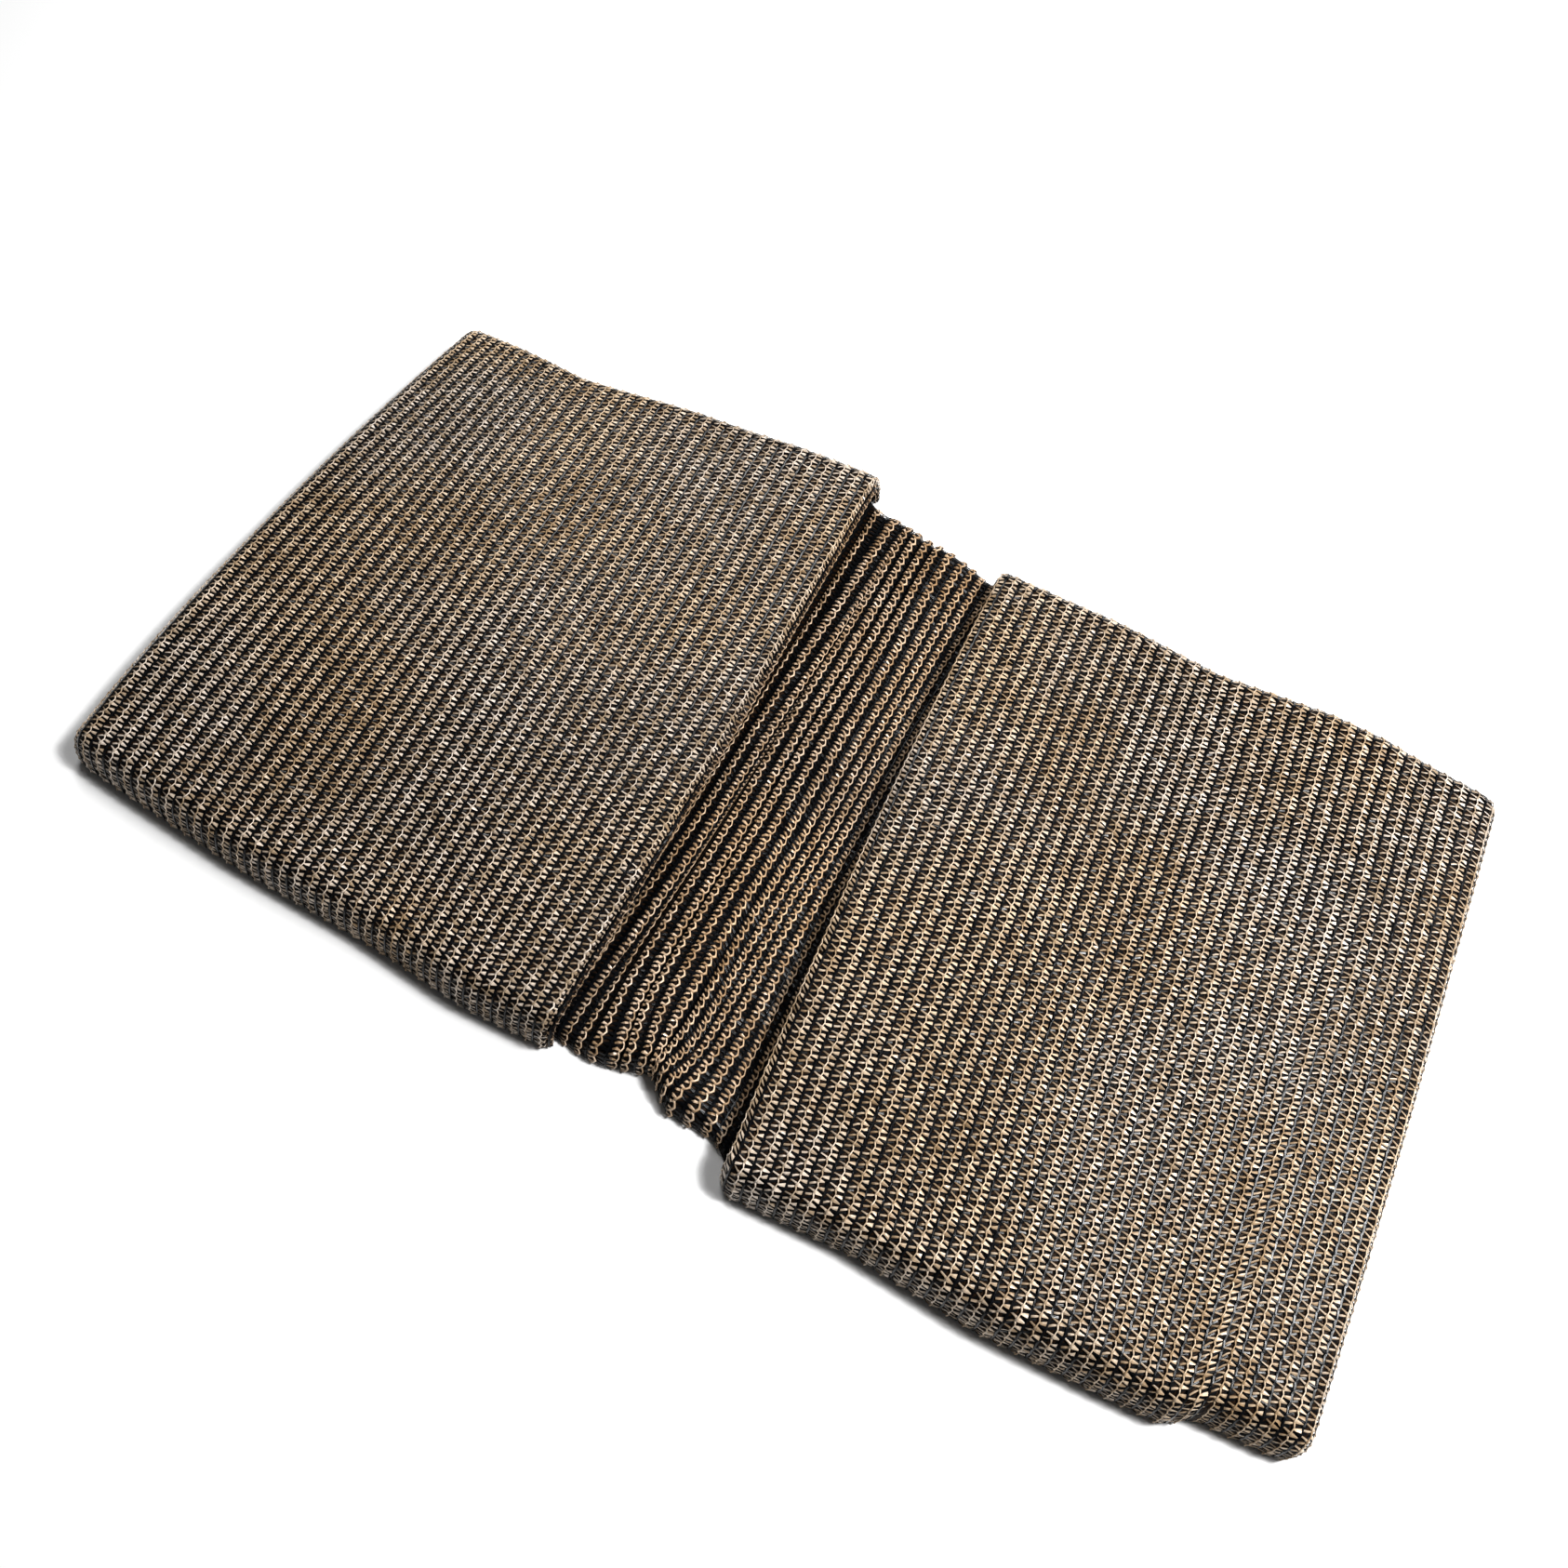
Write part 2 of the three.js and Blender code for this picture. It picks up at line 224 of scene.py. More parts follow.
def place(x, z, ply, across, nose):
    """Where a point of the section lies, at a place across the bundle and an angle round the edge."""
    top = ply == TOP_PLY
    under_rise = UNDER_RISE_SHARE * column(MIDDLE_RISE, x, "rise")
    relief = np.where(top, middle_relief(x, across), np.where(ply == UNDER_PLY, under_rise, 0))
    x = np.where(top, rib_place(x, across), x)
    height = (z + relief) * stack_fullness(x, across)
    front = column(PLAN, x, "front")
    back = column(PLAN, x, "back")
    flat_y = front + (back - front) * (across + 1) / 2
    reach = (NOSE_BASE + NOSE_PER_HEIGHT * height) * np.sin(nose)
    from_middle = (x - (LEFT_END + RIGHT_END) / 2) / ((RIGHT_END - LEFT_END) / 2)
    pull = CORNER_PULL * (1 - np.cos(nose)) * from_middle**9
    lean = column(PLAN, x, "lean") * across
    bow = column(PLAN, x, "bow") * (1 - across**2)
    across_edge = flat_y + np.sign(across) * reach + SHIFT_Y
    return np.stack([x + lean + bow - pull + SHIFT_X, across_edge, height * np.cos(nose)], axis=-1)


def level_height(level):
    return CLOTH_THICKNESS / 2 + level * LAYER_PITCH


class ClothPath:
    """The middle line of the cloth in the section, with the length of cloth at each point."""

    def __init__(self):
        self.points = []
        self.marks = {}

    def add(self, x, z, ply=FLAT_PLY, length=None):
        if length is None:
            length = 0.0
            if self.points:
                before = self.points[-1]
                length = before[3] + math.hypot(x - before[0], z - before[1])
        self.points.append((x, z, ply, length))

    def mark(self, name):
        self.marks[name] = self.points[-1][3]

    def run(self, level, start, end, step, ply=FLAT_PLY):
        for x in np.linspace(start, end, max(2, int(abs(end - start) / step) + 1)):
            self.add(x, level_height(level), ply)

    def ribs(self, level, first, last, parts):
        """The middle's uppermost layer, with a stripe repeat of cloth from each rib to the next."""
        start = 0.0
        if self.points:
            start = math.ceil(self.points[-1][3] / STRIPE_REPEAT) * STRIPE_REPEAT + RIB_CREST_PLACE
        for count in np.linspace(first, last, (last - first) * parts + 1):
            x = float(np.interp(count, np.arange(len(RIBS)), RIBS["x"]))
            self.add(x, level_height(level), TOP_PLY, start + (count - first) * STRIPE_REPEAT)

    def turn(self, lower, upper, x, side, squash=1.0, steps=3):
        radius = abs(upper - lower) * LAYER_PITCH / 2
        middle = (level_height(lower) + level_height(upper)) / 2
        rising = 1 if upper > lower else -1
        for i in range(1, steps):
            angle = math.pi * i / steps
            out = side * math.sin(angle) * squash * radius
            self.add(x + out, middle - rising * math.cos(angle) * radius)

    def arrays(self):
        return [np.array(values) for values in zip(*self.points)]


class Across:
    """Places along the fold from the front edge, over the flat, to the back edge, by length of cloth."""

    def __init__(self, height, width):
        self.angles = np.linspace(0, NOSE_END_ANGLE, 40)
        reach = NOSE_BASE + NOSE_PER_HEIGHT * height
        middle_angles = (self.angles[1:] + self.angles[:-1]) / 2
        speed = np.hypot(reach * np.cos(middle_angles), height * np.sin(middle_angles))
        self.arc = np.concatenate([[0.0], np.cumsum(speed * np.diff(self.angles))])
        self.edge = float(self.arc[-1])
        self.width = width
        self.total = 2 * self.edge + width

    def at(self, length):
        """Place across and nose angle at a length of cloth from the front edge."""
        flat = length - self.edge
        across = np.clip(2 * flat / self.width - 1, -1, 1)
        past = np.where(flat < 0, -flat, np.maximum(flat - self.width, 0))
        return across, np.interp(past, self.arc, self.angles)


SHEET_STEP = 9.0
FINE_STEP = 3.0


def whole_path(step):
    """The cloth from one cut end to the other, folded as the solid is."""
    path = ClothPath()
    inner_left = LEFT_END + INNER_FOLD_SETBACK
    inner_right = RIGHT_END - INNER_FOLD_SETBACK
    loop_right = inner_right - INNER_FOLD_STAGGER
    second = LEFT_FLAP_EDGE + SECOND_FOLD_STEP
    third = LEFT_FLAP_EDGE - SECOND_FOLD_STEP
    shoulder = RIGHT_PANEL_EDGE + SHOULDER_OVERLAP
    path.run(1, inner_right, MIDDLE_RISE["x"][-1] + step, step)
    path.run(1, MIDDLE_RISE["x"][-1], MIDDLE_RISE["x"][0], FINE_STEP, UNDER_PLY)
    path.run(1, MIDDLE_RISE["x"][0] - step, inner_left, step)
    path.turn(1, 2, inner_left, -1)
    path.run(2, inner_left, RIBS["x"][0] - step, step)
    path.ribs(2, 0, len(RIBS) - 1, 6)
    path.run(2, RIBS["x"][-1] + step, inner_right, step)
    path.turn(2, 7, inner_right, 1, END_FOLD_SQUASH, 8)
    path.run(7, inner_right, shoulder, step)
    path.turn(7, 6, shoulder, -1)
    path.run(6, shoulder, loop_right, step)
    path.turn(6, 5, loop_right, 1)
    path.run(5, loop_right, shoulder, step)
    path.turn(5, 4, shoulder, -1)
    path.run(4, shoulder, loop_right, step)
    path.turn(4, 3, loop_right, 1)
    path.run(3, loop_right, RIGHT_PANEL_EDGE, step)
    path.mark("right")
    path.turn(3, 8, RIGHT_PANEL_EDGE, -1, END_FOLD_SQUASH, 10)
    path.run(8, RIGHT_PANEL_EDGE, RIGHT_END, step)
    path.turn(8, 0, RIGHT_END, 1, END_FOLD_SQUASH, 12)
    path.mark("bottom")
    path.run(0, RIGHT_END, LEFT_END, step)
    path.mark("left")
    path.turn(0, 9, LEFT_END, -1, END_FOLD_SQUASH, 12)
    path.run(9, LEFT_END, LEFT_FLAP_EDGE, step)
    path.turn(9, 8, LEFT_FLAP_EDGE, 1, steps=6)
    path.run(8, LEFT_FLAP_EDGE, inner_left, step)
    path.turn(8, 7, inner_left, -1)
    path.run(7, inner_left, second, step)
    path.mark("second")
    path.turn(7, 6, second, 1, steps=6)
    path.run(6, second, inner_left, step)
    path.turn(6, 5, inner_left, -1)
    path.run(5, inner_left, third, step)
    path.turn(5, 4, third, 1)
    path.run(4, third, inner_left, step)
    path.turn(4, 3, inner_left, -1)
    path.run(3, inner_left, third - CUT_END_SETBACK, step)
    return path


class Stretch:
    """A stretch of the cloth's outer face that shows, for yarn to lie on."""

    def __init__(self, path, top_level, mark=None):
        self.x, self.z, self.ply, self.along = path.arrays()
        inside = (self.x > LEFT_END) & (self.x < RIGHT_END)
        width = column(PLAN, self.x[inside], "back") - column(PLAN, self.x[inside], "front")
        self.across = Across(level_height(top_level), float(width.mean()))
        self.length = float(self.along[-1])
        self.first = 0.0 if mark is None else -mark % STRIPE_REPEAT

    def point(self, along, over):
        x = np.interp(along, self.along, self.x)
        z = np.interp(along, self.along, self.z)
        ply = np.rint(np.interp(along, self.along, self.ply))
        across, nose = self.across.at(over)
        return place(x, z, ply, across, nose)

    def lift(self, along, over, height):
        """Points at a height over the cloth's middle line."""
        nudge = 0.35
        ahead = self.point(along + nudge, over) - self.point(along - nudge, over)
        beside = self.point(along, over + nudge) - self.point(along, over - nudge)
        normal = np.cross(ahead, beside)
        size = np.linalg.norm(normal, axis=1, keepdims=True)
        lifted = self.point(along, over) + normal / np.maximum(size, 1e-9) * height[:, None]
        lifted[:, 2] = np.maximum(lifted[:, 2], LEAST_HEIGHT)
        return lifted


def left_stretch(marks):
    path = ClothPath()
    path.turn(0, 9, LEFT_END, -1, END_FOLD_SQUASH, 24)
    path.run(9, LEFT_END, LEFT_FLAP_EDGE, 2)
    path.turn(9, 8, LEFT_FLAP_EDGE, 1, steps=8)
    return Stretch(path, 9, marks["left"])


def right_stretch(marks):
    path = ClothPath()
    path.turn(3, 8, RIGHT_PANEL_EDGE, -1, END_FOLD_SQUASH, 20)
    path.run(8, RIGHT_PANEL_EDGE, RIGHT_END, 2)
    path.turn(8, 0, RIGHT_END, 1, END_FOLD_SQUASH, 24)
    return Stretch(path, 8, marks["right"])


def middle_stretch(_marks):
    """The ribs of the middle that lie in the open, and one beyond them at each side."""
    path = ClothPath()
    path.ribs(2, 1, len(RIBS) - 3, 14)
    return Stretch(path, 4)


def second_stretch(marks):
    second = LEFT_FLAP_EDGE + SECOND_FOLD_STEP
    path = ClothPath()
    path.run(7, second - SECOND_FOLD_SHOWN, second, 1)
    path.turn(7, 6, second, 1, steps=8)
    return Stretch(path, 7, marks["second"] - SECOND_FOLD_SHOWN)


# Each strand in a stitch: where it runs in the cloth's plane, its height, and its own width and
# thickness on the way. The stitch's loop is at the origin, u runs across the stripes, and the two
# numbers after the rows say how loose the first and the last end are.

STRAND = "u v height width thick"


def strand(rows, loose=(0, 0)):
    return table(STRAND, rows), loose


CHAIN = strand(
    [(-0.2, -0.1, 1.12, 0.98, 0.5), (0.22, 1.25, 0.86, 0.56, 0.4), (0.48, 2.7, 0.82, 0.48, 0.36),
     (-0.18, STITCH_LENGTH - 0.05, 1.04, 0.9, 0.46)]
)
CROSSING_TAPE = strand(
    [(-2.95, 1.5, 0.3, 0.6, 0.16), (-0.9, 1.0, 0.5, 0.66, 0.18), (0.7, 0.45, 0.78, 1.5, 0.22),
     (2.85, 0.3, 0.55, 0.4, 0.16)],
    (1, 1),
)
FALLING_ARM = strand(
    [(-2.9, -1.45, 0.3, 0.78, 0.16), (-1.6, -0.9, 0.58, 0.8, 0.2), (-0.1, -0.25, 0.74, 0.5, 0.2)],
    (1, 0),
)
FAN = strand(
    [(0.3, -2.1, 0.66, 0.4, 0.18), (1.5, -1.95, 0.82, 0.95, 0.2), (2.95, -1.75, 0.55, 1.45, 0.16)],
    (0, 1),
)
BLACK_CHAIN = strand(
    [(-0.1, 0.0, 0.62, 0.95, 0.42), (0.2, 1.5, 0.66, 0.6, 0.36),
     (-0.1, STITCH_LENGTH, 0.58, 0.9, 0.4)]
)
BLACK_TAPE = strand(
    [(-2.9, 1.9, 0.14, 1.0, 0.16), (0.0, 1.5, 0.5, 0.8, 0.24), (2.6, 2.7, 0.16, 0.9, 0.16)],
    (1, 1),
)

# In the ribs of the middle the tapes on one side are tucked under, and the others lie close.
RIB_CHAIN = strand(
    [(-0.5, 0.0, 0.95, 0.95, 0.55), (0.1, 1.1, 1.1, 0.66, 0.45), (0.55, 2.2, 1.05, 0.85, 0.5),
     (0.15, 3.3, 0.9, 0.6, 0.4), (-0.5, STITCH_LENGTH, 0.93, 0.9, 0.5)]
)
RIB_LOBES = [
    strand(
        [(-2.8, 1.25, 0.2, 0.8, 0.2), (-1.7, 1.2, 0.62, 1.15, 0.3), (-0.2, 0.85, 0.72, 0.6, 0.3)], (1, 0)
    ),
    strand(
        [(-2.9, -1.3, 0.2, 0.8, 0.2), (-1.7, -0.95, 0.6, 1.1, 0.3), (-0.1, -0.4, 0.72, 0.6, 0.3)], (1, 0)
    ),
]
RIB_STRANDS = [
    strand([(-3.2, 0.1, 0.1, 0.7, 0.2), (-0.6, 0.3, 0.6, 1.3, 0.26), (1.8, 0.15, 0.4, 0.9, 0.2)], (1, 1)),
    strand([(-3.2, 2.4, 0.1, 0.8, 0.2), (-0.6, 2.2, 0.62, 1.25, 0.26), (1.8, 2.4, 0.35, 0.9, 0.2)], (1, 1)),
]


class Yarn:
    """One kind of yarn: its strands in a stitch, the sides of their section, its place in the repeat.

    A chain is round, and the facets of a flat tape each catch the light in their own way.
    """

    def __init__(self, name, strands, sides, offset, round_section=False, roll_share=1.0):
        self.name = name
        self.strands = strands
        self.sides = sides
        self.offset = offset
        self.round_section = round_section
        self.roll_share = roll_share


BLACK_ROLL_SHARE = 0.4
PANEL_YARNS = {
    "sand": [
        Yarn("sand_chain", [CHAIN], 5, SAND_PLACE, round_section=True),
        Yarn("sand_long_tapes", [CROSSING_TAPE], 4, SAND_PLACE),
        Yarn("sand_short_tapes", [FALLING_ARM, FAN], 4, SAND_PLACE),
    ],
    "black": [
        Yarn("black_yarn", [BLACK_CHAIN, BLACK_TAPE], 3, BLACK_PLACE, roll_share=BLACK_ROLL_SHARE),
    ],
}
RIB_YARNS = {
    "sand": [
        Yarn("sand_chain", [RIB_CHAIN], 5, RIB_CHAIN_PLACE, round_section=True),
        Yarn("sand_lobes", RIB_LOBES, 4, RIB_CHAIN_PLACE),
    ],
    "black": [
        Yarn("black_yarn", [BLACK_CHAIN, *RIB_STRANDS], 3, RIB_CHAIN_PLACE + STRIPE_REPEAT / 2),
    ],
}
STRETCHES = {
    "left": (left_stretch, PANEL_YARNS),
    "right": (right_stretch, PANEL_YARNS),
    "middle": (middle_stretch, RIB_YARNS),
    "second": (second_stretch, PANEL_YARNS),
}
# The middle and the second fold lie in shade: their sand tape takes the darker shaded sand colour, which is
# painted shade, and their black tape a lower shine.
SHADED_AREAS = ("middle", "second")
SEED_OF_KIND = {"sand": 1, "black": 5}

# The yarns of the shaded areas sway this many times as far as those of the panels.
SHADED_SWAY = 2.2


def add_strand(bm, route, sides, number, tags):
    """A closed tube along the route, with an oval section of a few sides.

    A section of three sides has a flat side on top.
    """
    spin = -math.pi / 2 if sides == 3 else 0
    rings = []
    for i, stop in enumerate(route):
        before = route[max(i - 1, 0)]
        after = route[min(i + 1, len(route) - 1)]
        heading = math.atan2(after["v"] - before["v"], after["u"] - before["u"])
        ring = bmesh.ops.create_circle(bm, cap_ends=False, radius=0.5, segments=sides)["verts"]
        scale = Matrix.Diagonal((stop["thick"], stop["width"], 1, 1))
        stand = Euler((0, math.pi / 2, 0)).to_matrix().to_4x4()
        spun = Matrix.Rotation(spin, 4, "Z")
        turn = Matrix.Rotation(heading, 4, "Z")
        move = Matrix.Translation((stop["u"], stop["v"], stop["height"]))
        sideways = Vector((-math.sin(heading), math.cos(heading), 0))
        bmesh.ops.transform(bm, verts=ring, matrix=move @ turn @ stand @ scale @ spun)
        for vert in ring:
            vert[tags["number"]] = number
            vert[tags["share"]] = i / (len(route) - 1)
            vert[tags["side"]] = (vert.co - move.translation).dot(sideways)
        rings.append(ring)
    for both in zip(rings, rings[1:]):
        edges = [e for ring in both for v in ring for e in v.link_edges if e.other_vert(v) in ring]
        bmesh.ops.bridge_loops(bm, edges=list(dict.fromkeys(edges)))
    for ring in (rings[0], rings[-1]):
        bmesh.ops.contextual_create(bm, geom=ring)


def stitch_mesh(name, yarn):
    """One stitch's worth of yarn, flat, with each vertex tagged with its place on its strand."""
    bm = bmesh.new()
    tags = {
        "number": bm.verts.layers.int.new("number"),
        "share": bm.verts.layers.float.new("share"),
        "side": bm.verts.layers.float.new("side"),
    }
    for number, (route, _) in enumerate(yarn.strands):
        add_strand(bm, route, yarn.sides, number, tags)
    bmesh.ops.recalc_face_normals(bm, faces=bm.faces[:])
    mesh = bpy.data.meshes.new(name)
    bm.to_mesh(mesh)
    bm.free()
    return mesh


def read_points(mesh):
    points = np.zeros(len(mesh.vertices) * 3)
    mesh.vertices.foreach_get("co", points)
    return points.reshape(-1, 3)


def write_points(mesh, points):
    mesh.vertices.foreach_set("co", points.astype(np.float32).ravel())
    mesh.update()


def tagged(mesh, name, kind):
    values = np.zeros(len(mesh.vertices), kind)
    mesh.attributes[name].data.foreach_get("value", values)
    return values


def shade_smooth(mesh):
    mesh.polygons.foreach_set("use_smooth", np.ones(len(mesh.polygons), bool))


def linked(name, mesh):
    piece = bpy.data.objects.new(name, mesh)
    bpy.context.scene.collection.objects.link(piece)
    return piece


def arrayed(mesh, stripes, stitches):
    """The stitch repeated over a flat field of stripes and stitches, as one mesh."""
    cell = linked(mesh.name, mesh)
    for name, count, offset in (
        ("stitches", stitches, (0, STITCH_LENGTH, 0)),
        ("stripes", stripes, (STRIPE_REPEAT, 0, 0)),
    ):
        repeat = cell.modifiers.new(name, "ARRAY")
        repeat.count = count
        repeat.use_relative_offset = False
        repeat.use_constant_offset = True
        repeat.constant_offset_displace = offset
        repeat.use_merge_vertices = False
    bpy.context.view_layer.update()
    field = bpy.data.meshes.new_from_object(cell.evaluated_get(bpy.context.evaluated_depsgraph_get()))
    bpy.data.objects.remove(cell)
    return field


def slow_noise(along, over, phase):
    """A smooth wobble over the cloth, between about -1 and 1."""
    return (
        np.sin(along / 23 + 1.7 * np.sin(over / 41 + phase) + phase)
        + 0.6 * np.sin(over / 17 + 1.3 * np.sin(along / 29 + 2 * phase))
    ) / 1.6


def loosen(points, cell, yarn, knit, rng):
    """Lets the loose ends of each stitch's strands stray, and rolls each strand a little on its length."""
    tones = np.zeros(points.shape[:2])
    one = (len(points), 1)
    for number, (_, loose) in enumerate(yarn.strands):
        mine = cell["number"] == number
        share = cell["share"][mine]
        ends = loose[0] * np.maximum(0, 1 - 2 * share), loose[1] * np.maximum(0, 2 * share - 1)
        for at_end in ends:
            points[:, mine, 0] += rng.normal(0, knit.stray / MM, one) * at_end
            points[:, mine, 1] += rng.normal(0, knit.stray / MM, one) * at_end**1.5
            points[:, mine, 2] += rng.normal(0, knit.lift / MM, one) * at_end
        if any(loose):
            points[:, mine, 2] += rng.normal(0, knit.roll * yarn.roll_share, one) * cell["side"][mine]
        tones[:, mine] = rng.uniform(0, 1, one)
    return tones


def knit_field(area, stretch, yarn, material, knit, seed):
    """A field of stitches laid on a stretch of the cloth, as one piece."""
    name = f"{yarn.name}_{area}"
    mesh = stitch_mesh(name, yarn)
    cell = {
        "number": tagged(mesh, "number", np.int32),
        "share": tagged(mesh, "share", np.float32),
        "side": tagged(mesh, "side", np.float32),
    }
    first = (stretch.first + yarn.offset) % STRIPE_REPEAT
    stripes = int((stretch.length - first) / STRIPE_REPEAT) + 1
    stitches = int(round(stretch.across.total / STITCH_LENGTH))
    field = arrayed(mesh, stripes, stitches)
    bpy.data.meshes.remove(mesh)
    points = read_points(field).reshape(stripes * stitches, -1, 3)
    tones = loosen(points, cell, yarn, knit, np.random.default_rng(knit.seed + seed))
    along = points[..., 0].ravel() + first
    row_scale = stretch.across.total / (stitches * STITCH_LENGTH)
    over = points[..., 1].ravel() * row_scale + FIRST_ROW_SETBACK
    height = points[..., 2].ravel()
    sway = knit.sway / MM * (SHADED_SWAY if area in SHADED_AREAS else 1)
    swayed = np.clip(along + sway * slow_noise(along, over, 0.4), 0, stretch.length)
    over = over + sway * slow_noise(over, along, 2.2)
    write_points(field, stretch.lift(swayed, over, height) * MM)
    lengths = np.broadcast_to(cell["share"] * STITCH_LENGTH, tones.shape)
    sides = np.broadcast_to(cell["side"], tones.shape)
    for attribute in cell:
        field.attributes.remove(field.attributes[attribute])
    note(field, "strand", "FLOAT_VECTOR", "vector", np.stack([lengths, sides, tones], axis=-1))
    note(field, "stand", "FLOAT", "value", height)
    field.materials.clear()
    field.materials.append(material)
    if yarn.round_section:
        shade_smooth(field)
    piece = linked(name, field)
    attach(piece, "root")
    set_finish(piece, "knit")
    return piece


def note(mesh, name, kind, field, values):
    """Keeps values on a mesh's vertices, for its material."""
    attribute = mesh.attributes.new(name, kind, "POINT")
    attribute.data.foreach_set(field, values.astype(np.float32).ravel())


def lay_yarns(kind, open_material, shaded_material, knit):
    """Every yarn of one kind on every stretch that shows."""
    marks = whole_path(SHEET_STEP).marks
    for order, (area, (make_stretch, yarns)) in enumerate(STRETCHES.items()):
        stretch = make_stretch(marks)
        material = shaded_material if area in SHADED_AREAS else open_material
        for seed, yarn in enumerate(yarns[kind]):
            knit_field(area, stretch, yarn, material, knit, 10 * order + seed + SEED_OF_KIND[kind])


# Materials

BLACK_SHINE = 0.28
SHADED_BLACK_SHINE = 0.12
TAPE_GRAIN = "Tape grain"
KNIT_PRINT = "Knit print"


class Nodes:
    """Short ways to add nodes to one node tree and join them."""

    def __init__(self, tree):
        self.tree = tree

    def add(self, kind, inputs=None, **settings):
        node = self.tree.nodes.new(kind)
        for name, value in settings.items():
            setattr(node, name, value)
        for name, value in (inputs or {}).items():
            self.feed(node.inputs[name], value)
        return node

    def feed(self, socket, value):
        if isinstance(value, bpy.types.NodeSocket):
            self.tree.links.new(value, socket)
        else:
            socket.default_value = value

    def math(self, operation, first, second=0.0, third=0.0):
        node = self.add("ShaderNodeMath", operation=operation)
        for socket, value in zip(node.inputs, (first, second, third)):
            self.feed(socket, value)
        return node.outputs["Value"]

    def ramp(self, value, low, high, start=0.0, end=1.0):
        node = self.add(
            "ShaderNodeMapRange",
            {"Value": value, "From Min": low, "From Max": high, "To Min": start, "To Max": end},
            interpolation_type="SMOOTHSTEP",
        )
        return node.outputs["Result"]

    def blend(self, factor, first, second, kind="MIX"):
        node = self.add("ShaderNodeMix", data_type="RGBA", blend_type=kind)
        self.feed(node.inputs[0], factor)
        self.feed(node.inputs[6], first)
        self.feed(node.inputs[7], second)
        return node.outputs[2]

    def noise(self, vector, scale, detail=2.0, name="Fac"):
        node = self.add("ShaderNodeTexNoise", {"Vector": vector, "Scale": scale, "Detail": detail})
        return node.outputs[name]


def new_group(name, inputs, outputs):
    """An empty shader node group with named sockets, and its own way to add nodes."""
    group = bpy.data.node_groups.new(name, "ShaderNodeTree")
    for socket, kind, value in inputs:
        made = group.interface.new_socket(name=socket, in_out="INPUT", socket_type=kind)
        made.default_value = value
    for socket, kind in outputs:
        group.interface.new_socket(name=socket, in_out="OUTPUT", socket_type=kind)
    nodes = Nodes(group)
    entry = nodes.add("NodeGroupInput")
    leave = nodes.add("NodeGroupOutput")
    return nodes, entry.outputs, leave.inputs


def tape_grain():
    """Fine streaks along a tape, a tone of its own for each tape, and how deep it lies in the knit."""
    if TAPE_GRAIN in bpy.data.node_groups:
        return bpy.data.node_groups[TAPE_GRAIN]
    inputs = [
        ("Streaks", "NodeSocketFloat", 3.0),
        ("Tone Spread", "NodeSocketFloat", 0.5),
        ("Patch Size", "NodeSocketFloat", 14.0),
    ]
    outputs = [("Tone", "NodeSocketFloat"), ("Stand", "NodeSocketFloat"), ("Height", "NodeSocketFloat")]
    nodes, given, out = new_group(TAPE_GRAIN, inputs, outputs)
    strand = nodes.add("ShaderNodeAttribute", attribute_name="strand").outputs["Vector"]
    parts = nodes.add("ShaderNodeSeparateXYZ", {"Vector": strand}).outputs
    stand = nodes.add("ShaderNodeAttribute", attribute_name="stand").outputs["Fac"]
    streak_place = nodes.add("ShaderNodeCombineXYZ", {"X": nodes.math("MULTIPLY", parts["X"], 0.3)})
    nodes.feed(streak_place.inputs["Y"], nodes.math("MULTIPLY", parts["Y"], given["Streaks"]))
    nodes.feed(streak_place.inputs["Z"], nodes.math("MULTIPLY", parts["Z"], 40.0))
    streak = nodes.noise(streak_place.outputs["Vector"], 1.0, 1.0)
    here = nodes.add("ShaderNodeTexCoord").outputs["Object"]
    patch = nodes.noise(here, given["Patch Size"], 2.0)
    own = nodes.math("MULTIPLY", nodes.math("SUBTRACT", parts["Z"], 0.5), given["Tone Spread"])
    wide = nodes.math("MULTIPLY", nodes.math("SUBTRACT", patch, 0.5), 0.8)
    fine = nodes.math("MULTIPLY", nodes.math("SUBTRACT", streak, 0.5), 0.5)
    tone = nodes.math("ADD", nodes.math("ADD", own, wide), nodes.math("ADD", fine, 0.5))
    nodes.feed(out["Tone"], nodes.ramp(tone, 0.0, 1.0))
    nodes.feed(out["Stand"], stand)
    nodes.feed(out["Height"], streak)
    return nodes.tree


